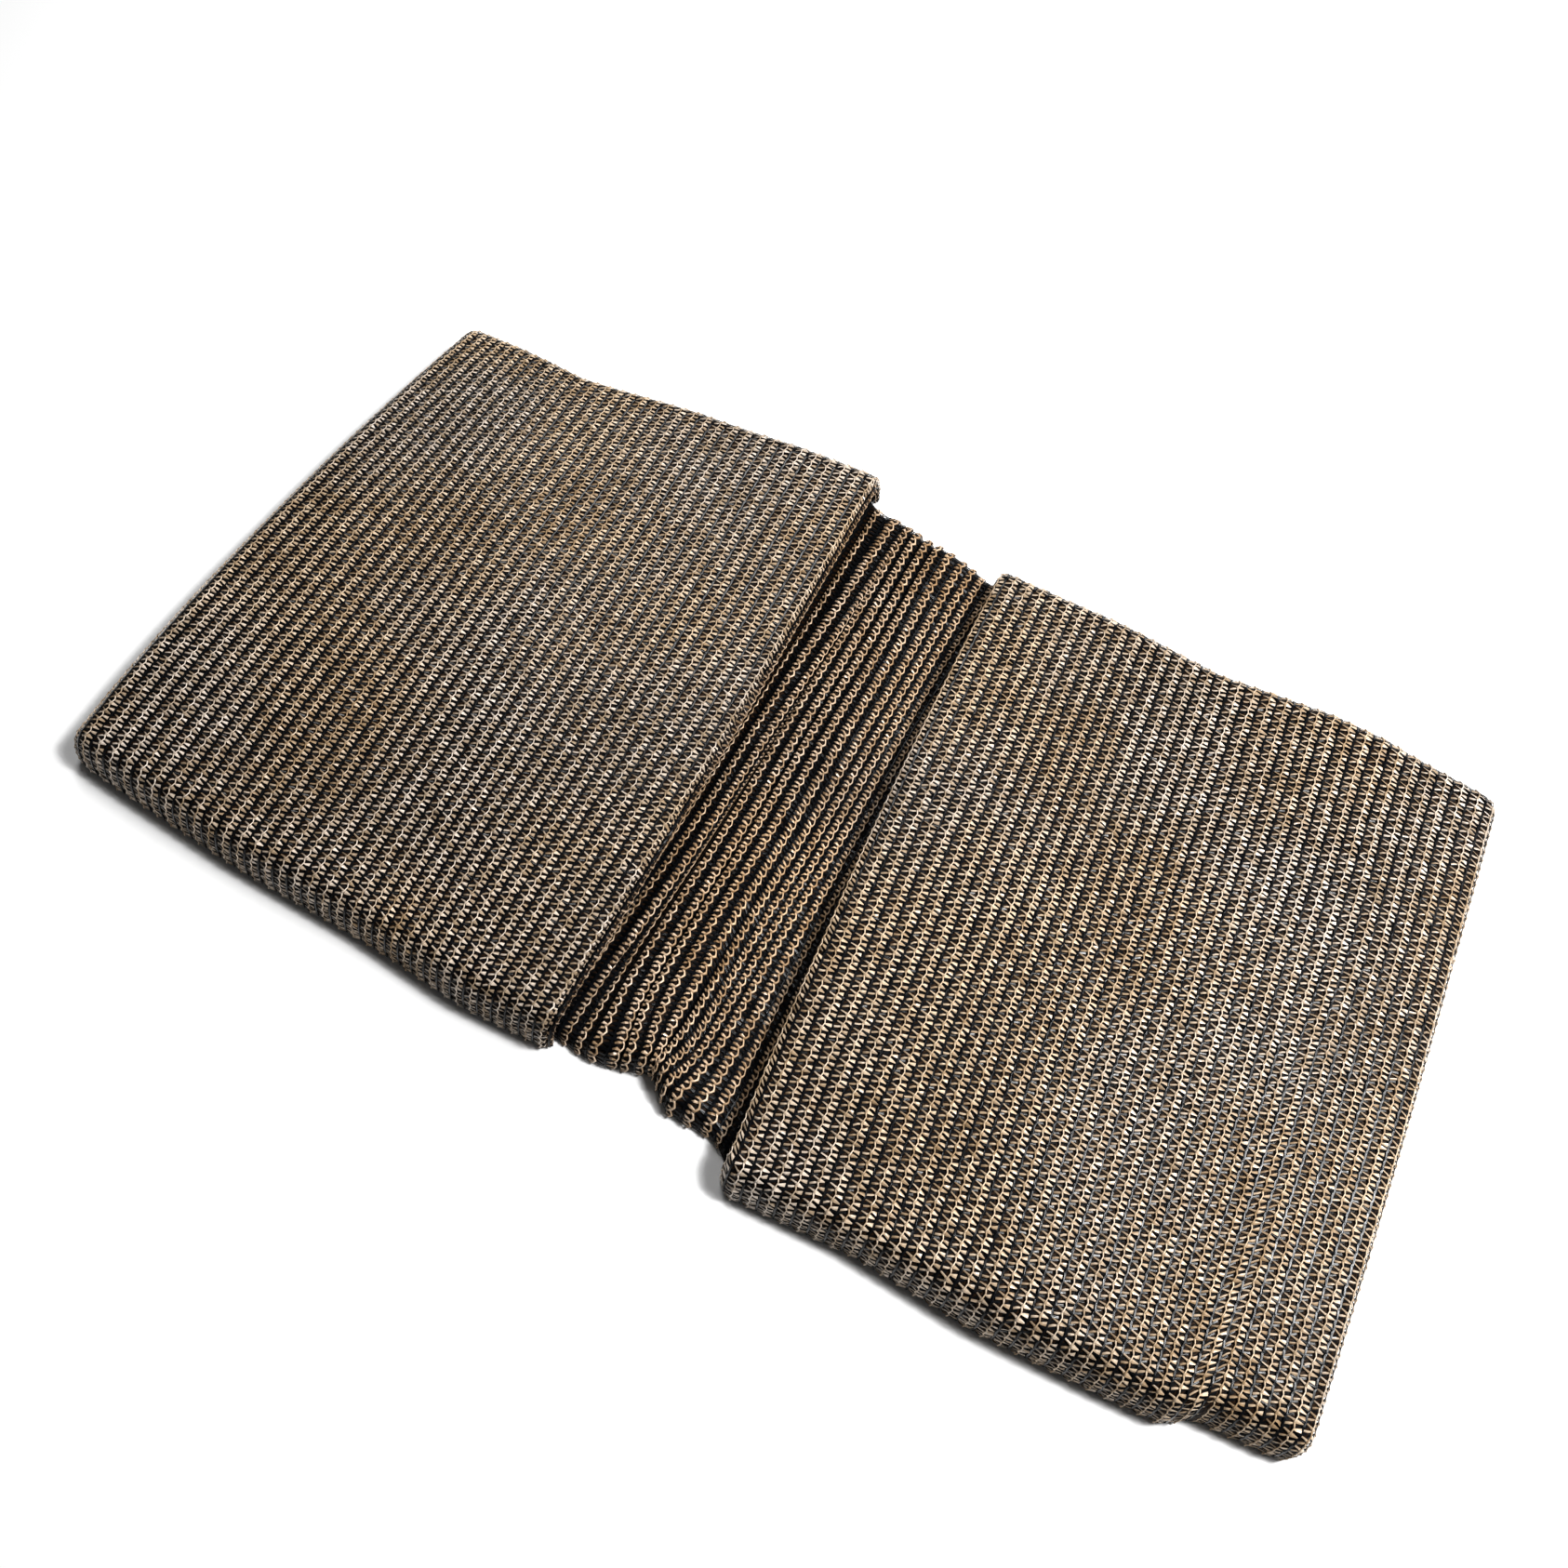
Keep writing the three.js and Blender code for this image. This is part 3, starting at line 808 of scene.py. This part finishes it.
def knit_print():
    """The knit seen flat: the sand tapes, their chains and the holes, on the cloth's own stitch grid."""
    if KNIT_PRINT in bpy.data.node_groups:
        return bpy.data.node_groups[KNIT_PRINT]
    inputs = [("Chain Place", "NodeSocketFloat", 0.36), ("Band Width", "NodeSocketFloat", 0.4)]
    outputs = [("Sand", "NodeSocketFloat"), ("Chain", "NodeSocketFloat"), ("Height", "NodeSocketFloat")]
    nodes, given, out = new_group(KNIT_PRINT, inputs, outputs)
    grid = nodes.add("ShaderNodeUVMap", uv_map="knit").outputs["UV"]
    parts = nodes.add("ShaderNodeSeparateXYZ", {"Vector": grid}).outputs
    sway = nodes.math("MULTIPLY", nodes.math("SINE", nodes.math("MULTIPLY", parts["Y"], 2 * math.pi)), 0.03)
    shifted = nodes.math("SUBTRACT", nodes.math("ADD", parts["X"], sway), given["Chain Place"])
    across = nodes.math("SUBTRACT", nodes.math("FRACT", nodes.math("ADD", shifted, 0.5)), 0.5)
    away = nodes.math("ABSOLUTE", across)
    slant = nodes.math("MULTIPLY", across, -1.3)
    dashes = nodes.math("SINE", nodes.math("MULTIPLY", nodes.math("ADD", parts["Y"], slant), 4 * math.pi))
    chain = nodes.ramp(away, 0.09, 0.055)
    band = nodes.ramp(away, given["Band Width"], nodes.math("SUBTRACT", given["Band Width"], 0.06))
    tapes = nodes.math("MULTIPLY", band, nodes.ramp(dashes, -0.35, 0.35))
    black_chain = nodes.ramp(away, 0.43, 0.47)
    nodes.feed(out["Sand"], nodes.math("MAXIMUM", chain, tapes))
    nodes.feed(out["Chain"], chain)
    relief = nodes.math("ADD", nodes.math("MULTIPLY", tapes, 0.5), chain)
    nodes.feed(out["Height"], nodes.math("ADD", relief, nodes.math("MULTIPLY", black_chain, 0.6)))
    return nodes.tree


def new_material(name):
    material = bpy.data.materials.new(name)
    material.use_nodes = True
    shader = material.node_tree.nodes["Principled BSDF"]
    return material, Nodes(material.node_tree), shader


def placed_group(nodes, group, values):
    node = nodes.add("ShaderNodeGroup", node_tree=group)
    for name, value in values.items():
        nodes.feed(node.inputs[name], value)
    return node.outputs


def bump(nodes, height, strength, distance):
    node = nodes.add("ShaderNodeBump", {"Height": height, "Strength": strength, "Distance": distance})
    return node.outputs["Normal"]


def shade_of(colour, share):
    return (colour[0] * share[0], colour[1] * share[1], colour[2] * share[2], 1.0)


def sand_material(name, sand, colours):
    """Split plastic tape in sand: its own light tone on the raised parts, and painted shade that turns it
    browner where it dips between them.
    """
    if name in bpy.data.materials:
        return bpy.data.materials[name]
    material, nodes, shader = new_material(name)
    grain = placed_group(nodes, tape_grain(), {"Streaks": 3.2, "Tone Spread": 0.8, "Patch Size": 16.0})
    pale = shade_of(sand, (1.36, 1.45, 1.66))
    dull = shade_of(sand, (0.66, 0.6, 0.52))
    # The brown of the painted shade between the raised yarns.
    deep = shade_of(sand, (0.2, 0.155, 0.115))
    colour = nodes.blend(grain["Tone"], dull, pale)
    here = nodes.add("ShaderNodeTexCoord").outputs["Object"]
    warm = nodes.ramp(nodes.noise(here, 11.0, 3.0), 0.35, 0.65)
    colour = nodes.blend(warm, colour, nodes.blend(1.0, colour, (1.0, 0.9, 0.74, 1.0), "MULTIPLY"))
    # Painted shade: the colour goes towards the deep brown where the yarn stands low in the knit.
    low = nodes.ramp(grain["Stand"], 0.95, 0.1)
    colour = nodes.blend(nodes.math("MULTIPLY", low, colours.painted_dip_shade), colour, deep)
    nodes.feed(shader.inputs["Base Color"], colour)
    nodes.feed(shader.inputs["Roughness"], nodes.ramp(grain["Tone"], 0.0, 1.0, 0.5, colours.gloss))
    nodes.feed(shader.inputs["Normal"], bump(nodes, grain["Height"], 0.35, 0.0002))
    shader.inputs["Specular IOR Level"].default_value = 0.5
    return material


def black_material(name, shine, colours):
    """The black tape and yarn, with a cold sheen on its raised parts."""
    if name in bpy.data.materials:
        return bpy.data.materials[name]
    material, nodes, shader = new_material(name)
    grain = placed_group(nodes, tape_grain(), {"Streaks": 4.0, "Tone Spread": 0.9, "Patch Size": 20.0})
    black = tuple(colours.black)
    dim = shade_of(black, (0.55, 0.55, 0.55))
    colour = nodes.blend(grain["Tone"], dim, shade_of(black, (1.7, 1.7, 1.7)))
    nodes.feed(shader.inputs["Base Color"], colour)
    nodes.feed(shader.inputs["Roughness"], nodes.ramp(grain["Tone"], 0.0, 1.0, 0.3, 0.14))
    nodes.feed(shader.inputs["Normal"], bump(nodes, grain["Height"], 0.4, 0.0002))
    shader.inputs["Specular IOR Level"].default_value = shine
    return material


def cloth_material(name, colours, shaded_under_yarns):
    """The cloth under its raised yarns, with its colours darkened almost to black as painted shade, or the
    whole knit where nothing is raised on it.
    """
    if name in bpy.data.materials:
        return bpy.data.materials[name]
    material, nodes, shader = new_material(name)
    places = {"Chain Place": SAND_PLACE / STRIPE_REPEAT, "Band Width": 0.42}
    knit = placed_group(nodes, knit_print(), places)
    here = nodes.add("ShaderNodeTexCoord").outputs["Object"]
    patch = nodes.noise(here, 22.0, 3.0)
    fibre = nodes.noise(here, 900.0, 2.0)
    sand = tuple(colours.sand)
    black = tuple(colours.black)
    # Painted shade: under the raised yarns the sand keeps only a few hundredths of its colour, for the
    # shade in the gaps between them.
    share = (0.06, 0.038, 0.024) if shaded_under_yarns else (0.95, 0.9, 0.85)
    light = shade_of(sand, share)
    dull = shade_of(sand, (share[0] * 0.55, share[1] * 0.5, share[2] * 0.45))
    tape = nodes.blend(nodes.ramp(nodes.math("ADD", patch, fibre), 0.7, 1.3), dull, light)
    dark = nodes.blend(fibre, shade_of(black, (0.5, 0.45, 0.4)), shade_of(black, (1.3, 1.25, 1.2)))
    nodes.feed(shader.inputs["Base Color"], nodes.blend(knit["Sand"], dark, tape))
    nodes.feed(shader.inputs["Roughness"], nodes.ramp(fibre, 0.2, 0.8, 0.7, 0.45))
    shader.inputs["Specular IOR Level"].default_value = 0.1 if shaded_under_yarns else 0.4
    relief = nodes.math("ADD", knit["Height"], nodes.math("MULTIPLY", fibre, 0.3))
    nodes.feed(shader.inputs["Normal"], bump(nodes, relief, 0.7, 0.0007))
    return material


def floor_material(colour):
    material, nodes, shader = new_material("pale_floor")
    here = nodes.add("ShaderNodeTexCoord").outputs["Object"]
    cloud = nodes.noise(here, 3.0, 2.0)
    low = shade_of(colour, (0.985, 0.985, 0.985))
    nodes.feed(shader.inputs["Base Color"], nodes.blend(cloud, low, shade_of(colour, (1, 1, 1))))
    shader.inputs["Roughness"].default_value = 0.95
    shader.inputs["Specular IOR Level"].default_value = 0.1
    return material


# The cloth

NOSE_ROWS = 9
FLAT_ROWS = 11
SHEET_FLAT_WIDTH = 265.0
SHEET_LEVEL = 6


def sheet_rows(over):
    """Places along the fold for the sheet's rows: close round the two long edges, wide on the flat."""
    front = np.linspace(0, over.edge, NOSE_ROWS, endpoint=False)
    flat = np.linspace(over.edge, over.edge + over.width, FLAT_ROWS, endpoint=False)
    back = np.linspace(over.edge + over.width, over.total, NOSE_ROWS + 1)
    return np.concatenate([front, flat, back])


def make_cloth(knit, colours):
    """The whole cloth as one thin sheet, folded as its solid is."""
    path = whole_path(SHEET_STEP)
    x, z, ply, along = path.arrays()
    over = Across(level_height(SHEET_LEVEL), SHEET_FLAT_WIDTH)
    rows = sheet_rows(over)
    bm = bmesh.new()
    bmesh.ops.create_grid(bm, x_segments=len(x) - 1, y_segments=len(rows) - 1, size=1, calc_uvs=False)
    mesh = bpy.data.meshes.new("net_cloth")
    bm.to_mesh(mesh)
    bm.free()
    flat = read_points(mesh)
    i = np.rint((flat[:, 0] + 1) / 2 * (len(x) - 1)).astype(int)
    j = np.rint((flat[:, 1] + 1) / 2 * (len(rows) - 1)).astype(int)
    across, nose = over.at(rows[j])
    points = place(x[i], z[i], ply[i], across, nose)
    points[:, 2] = np.maximum(points[:, 2], LEAST_HEIGHT)
    write_points(mesh, points * MM)
    shade_smooth(mesh)
    uv = mesh.uv_layers.new(name="knit")
    corners = np.zeros(len(mesh.loops), np.int32)
    mesh.loops.foreach_get("vertex_index", corners)
    stripes = along[i] / STRIPE_REPEAT
    stitches = rows[j] / STITCH_LENGTH
    grid = np.stack([stripes[corners], stitches[corners]], axis=1)
    uv.data.foreach_set("uv", grid.astype(np.float32).ravel())
    # The faces under the yarns get the cloth with painted shade.
    mesh.materials.append(cloth_material("cloth_under_yarn", colours, True))
    mesh.materials.append(cloth_material("cloth_knit", colours, False))
    bare = (path.marks["bottom"] < along) & (along <= path.marks["left"])
    first = np.zeros(len(mesh.polygons), np.int32)
    mesh.polygons.foreach_get("loop_start", first)
    mesh.polygons.foreach_set("material_index", bare[i][corners[first]].astype(np.int32))
    piece = linked("net_cloth", mesh)
    wall = piece.modifiers.new("thickness", "SOLIDIFY")
    wall.thickness = knit.thickness
    wall.offset = -1
    wall.use_rim = True
    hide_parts("net")
    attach(piece, "root")
    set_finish(piece, "knit")
    return piece


# The stage


def make_stage(stage):
    """The floor, the camera at the picture's own angle, and soft studio light."""
    bm = bmesh.new()
    bmesh.ops.create_grid(bm, x_segments=1, y_segments=1, size=FLOOR_REACH)
    mesh = bpy.data.meshes.new("floor")
    bm.to_mesh(mesh)
    bm.free()
    mesh.materials.append(floor_material(tuple(stage.floor)))
    linked("floor", mesh)
    scene = bpy.context.scene
    data = bpy.data.cameras.new("camera")
    data.sensor_width = SENSOR
    data.lens = SENSOR * stage.focal_share
    camera = linked("camera", data)
    camera.location = stage.camera_place
    look = Euler((math.pi / 2 - stage.down, 0, stage.heading)).to_matrix()
    camera.rotation_euler = (look @ Matrix.Rotation(stage.roll, 3, "Z")).to_euler()
    scene.camera = camera
    world = bpy.data.worlds.new("studio")
    scene.world = world
    world.use_nodes = True
    sky = world.node_tree.nodes["Background"]
    sky.inputs["Color"].default_value = (1, 1, 1, 1)
    sky.inputs["Strength"].default_value = stage.sky
    for name, direction, size, power in (
        ("key_light", KEY_DIRECTION, KEY_SIZE, stage.key_power),
        ("back_light", BACK_DIRECTION, BACK_SIZE, stage.back_power),
        ("glint_light", KEY_DIRECTION, GLINT_SIZE, stage.glint_power),
    ):
        lamp = bpy.data.lights.new(name, "AREA")
        lamp.size = size
        lamp.energy = power
        holder = linked(name, lamp)
        away = Vector(direction).normalized()
        holder.location = away * LIGHT_DISTANCE
        holder.rotation_euler = away.to_track_quat("Z", "Y").to_euler()
    scene.view_settings.view_transform = "Standard"
    scene.view_settings.exposure = EXPOSURE
    scene.view_settings.gamma = GAMMA


# Sizes and colours to change


class ShadeNetKnit(bpy.types.PropertyGroup):
    """How thick the cloth is and how evenly its yarns lie."""

    thickness: FloatProperty(
        name="Cloth Thickness",
        description="Thickness of the cloth without its raised yarns",
        default=0.0008,
        min=0.0002,
        max=0.001,
        unit="LENGTH",
        subtype="DISTANCE",
    )
    sway: FloatProperty(
        name="Sway",
        description="How far the stripes and rows of stitches sway from a straight line",
        default=0.00035,
        min=0,
        max=0.001,
        unit="LENGTH",
        subtype="DISTANCE",
    )
    stray: FloatProperty(
        name="Stray",
        description="How far the loose ends of the tapes stray from their own place",
        default=0.00022,
        min=0,
        max=0.001,
        unit="LENGTH",
        subtype="DISTANCE",
    )
    lift: FloatProperty(
        name="Lift",
        description="How unevenly the loose ends of the tapes stand off the cloth",
        default=0.00012,
        min=0,
        max=0.0005,
        unit="LENGTH",
        subtype="DISTANCE",
    )
    roll: FloatProperty(
        name="Roll",
        description="How much the tapes roll about their own length, as a share of their width",
        default=0.22,
        min=0,
        max=1,
        subtype="FACTOR",
    )
    seed: IntProperty(name="Seed", description="Picks the unevenness of the yarns", default=7, min=0)


class ShadeNetColours(bpy.types.PropertyGroup):
    """Colours and gloss of the net."""

    sand: FloatVectorProperty(
        name="Sand",
        description="Colour of the sand tape",
        default=(0.52, 0.428, 0.325),
        size=3,
        subtype="COLOR",
    )
    # Painted shade: a darker, more orange copy of the sand colour for the middle and the second fold, which
    # lie in shade.
    shaded_sand: FloatVectorProperty(
        name="Shaded Sand",
        description="Colour of the sand tape in the middle, where the black shows through",
        default=(0.52, 0.388, 0.262),
        size=3,
        subtype="COLOR",
    )
    black: FloatVectorProperty(
        name="Black",
        description="Colour of the black tape",
        default=(0.0045, 0.005, 0.0062),
        size=3,
        subtype="COLOR",
    )
    # Strength of the painted shade on the sand tape where it dips between the raised yarns.
    painted_dip_shade: FloatProperty(
        name="Dip",
        description="How much the sand tape darkens where it dips between the raised yarns",
        default=0.8,
        min=0,
        max=1,
        subtype="FACTOR",
    )
    gloss: FloatProperty(
        name="Smoothest Roughness",
        description="Roughness of the smoothest sand tapes",
        default=0.28,
        min=0.05,
        max=1,
        subtype="FACTOR",
    )


class ShadeNetStage(bpy.types.PropertyGroup):
    """The camera, the floor and the light."""

    camera_place: FloatVectorProperty(
        name="Camera Place",
        description="Where the camera stands",
        default=(0.11913, -0.24038, 0.545),
        size=3,
        unit="LENGTH",
        subtype="TRANSLATION",
    )
    down: FloatProperty(
        name="Down",
        description="How steeply the camera looks down",
        default=math.radians(63.4),
        unit="ROTATION",
        subtype="ANGLE",
    )
    heading: FloatProperty(
        name="Heading",
        description="Which way the camera looks, from the bundle's own depth",
        default=math.radians(27.4),
        unit="ROTATION",
        subtype="ANGLE",
    )
    roll: FloatProperty(
        name="Roll",
        description="How far the camera is tilted sideways",
        default=math.radians(2.2),
        unit="ROTATION",
        subtype="ANGLE",
    )
    focal_share: FloatProperty(
        name="Focal Share",
        description="Focal length as a share of the picture's width",
        default=0.8885,
        min=0.2,
        max=5,
    )
    floor: FloatVectorProperty(
        name="Floor", description="Colour of the floor", default=(0.9, 0.9, 0.9), size=3, subtype="COLOR"
    )
    sky: FloatProperty(name="Sky", description="Strength of the light from all round", default=0.05, min=0)
    key_power: FloatProperty(
        name="Key Light", description="Power of the main light", default=13.0, min=0, unit="POWER"
    )
    back_power: FloatProperty(
        name="Back Light", description="Power of the light from behind", default=6.0, min=0, unit="POWER"
    )
    glint_power: FloatProperty(
        name="Glint Light",
        description="Power of the small light within the main one",
        default=8.0,
        min=0,
        unit="POWER",
    )


# What can be built


class SHADENET_OT_cloth(bpy.types.Operator):
    """Fold the cloth of the net."""

    bl_idname = "shadenet.cloth"
    bl_label = "Fold the Cloth"
    bl_options = {"REGISTER", "UNDO"}

    def execute(self, context):
        make_cloth(context.scene.shade_net_knit, context.scene.shade_net_colours)
        return {"FINISHED"}


class SHADENET_OT_sand_yarns(bpy.types.Operator):
    """Lay the sand chains and tapes on the faces of the cloth that show."""

    bl_idname = "shadenet.sand_yarns"
    bl_label = "Lay the Sand Yarns"
    bl_options = {"REGISTER", "UNDO"}

    def execute(self, context):
        colours = context.scene.shade_net_colours
        sand = sand_material("sand_tape", tuple(colours.sand), colours)
        # The shaded sand tape is painted shade, for the middle and the second fold.
        shaded = sand_material("shaded_sand_tape", tuple(colours.shaded_sand), colours)
        lay_yarns("sand", sand, shaded, context.scene.shade_net_knit)
        return {"FINISHED"}


class SHADENET_OT_black_yarns(bpy.types.Operator):
    """Lay the black chains and tapes between the sand ones."""

    bl_idname = "shadenet.black_yarns"
    bl_label = "Lay the Black Yarns"
    bl_options = {"REGISTER", "UNDO"}

    def execute(self, context):
        colours = context.scene.shade_net_colours
        black = black_material("black_tape", BLACK_SHINE, colours)
        shaded = black_material("shaded_black_tape", SHADED_BLACK_SHINE, colours)
        lay_yarns("black", black, shaded, context.scene.shade_net_knit)
        return {"FINISHED"}


class SHADENET_OT_stage(bpy.types.Operator):
    """Set up the floor, the camera and the light."""

    bl_idname = "shadenet.stage"
    bl_label = "Set Up the Stage"
    bl_options = {"REGISTER", "UNDO"}

    def execute(self, context):
        make_stage(context.scene.shade_net_stage)
        return {"FINISHED"}


OPERATORS = (
    SHADENET_OT_cloth,
    SHADENET_OT_sand_yarns,
    SHADENET_OT_black_yarns,
    SHADENET_OT_stage,
)


class SHADENET_PT_panel(bpy.types.Panel):
    """Lists the net's sizes, colours and pieces."""

    bl_idname = "SHADENET_PT_panel"
    bl_label = "Folded Shade Net"
    bl_space_type = "VIEW_3D"
    bl_region_type = "UI"
    bl_category = "Shade Net"

    def draw(self, context):
        for group, title in (
            (context.scene.shade_net_knit, "Cloth and yarns"),
            (context.scene.shade_net_colours, "Colours"),
            (context.scene.shade_net_stage, "Stage"),
        ):
            box = self.layout.box()
            box.label(text=title)
            for name in group.__annotations__:
                box.prop(group, name)
        for operator in OPERATORS:
            self.layout.operator(operator.bl_idname)


CLASSES = (ShadeNetKnit, ShadeNetColours, ShadeNetStage, *OPERATORS, SHADENET_PT_panel)


def register():
    for each in CLASSES:
        bpy.utils.register_class(each)
    bpy.types.Scene.shade_net_knit = PointerProperty(type=ShadeNetKnit)
    bpy.types.Scene.shade_net_colours = PointerProperty(type=ShadeNetColours)
    bpy.types.Scene.shade_net_stage = PointerProperty(type=ShadeNetStage)


def unregister():
    del bpy.types.Scene.shade_net_stage
    del bpy.types.Scene.shade_net_colours
    del bpy.types.Scene.shade_net_knit
    for each in reversed(CLASSES):
        bpy.utils.unregister_class(each)


def declare_cloth():
    """Works out the folded path of the cloth, and does nothing more with it."""
    path = whole_path(SHEET_STEP)


def main():
    register()
    bpy.ops.shadenet.cloth()
    bpy.ops.shadenet.sand_yarns()
    bpy.ops.shadenet.black_yarns()
    bpy.ops.shadenet.stage()
    declare_cloth()


if __name__ == "__main__":
    main()
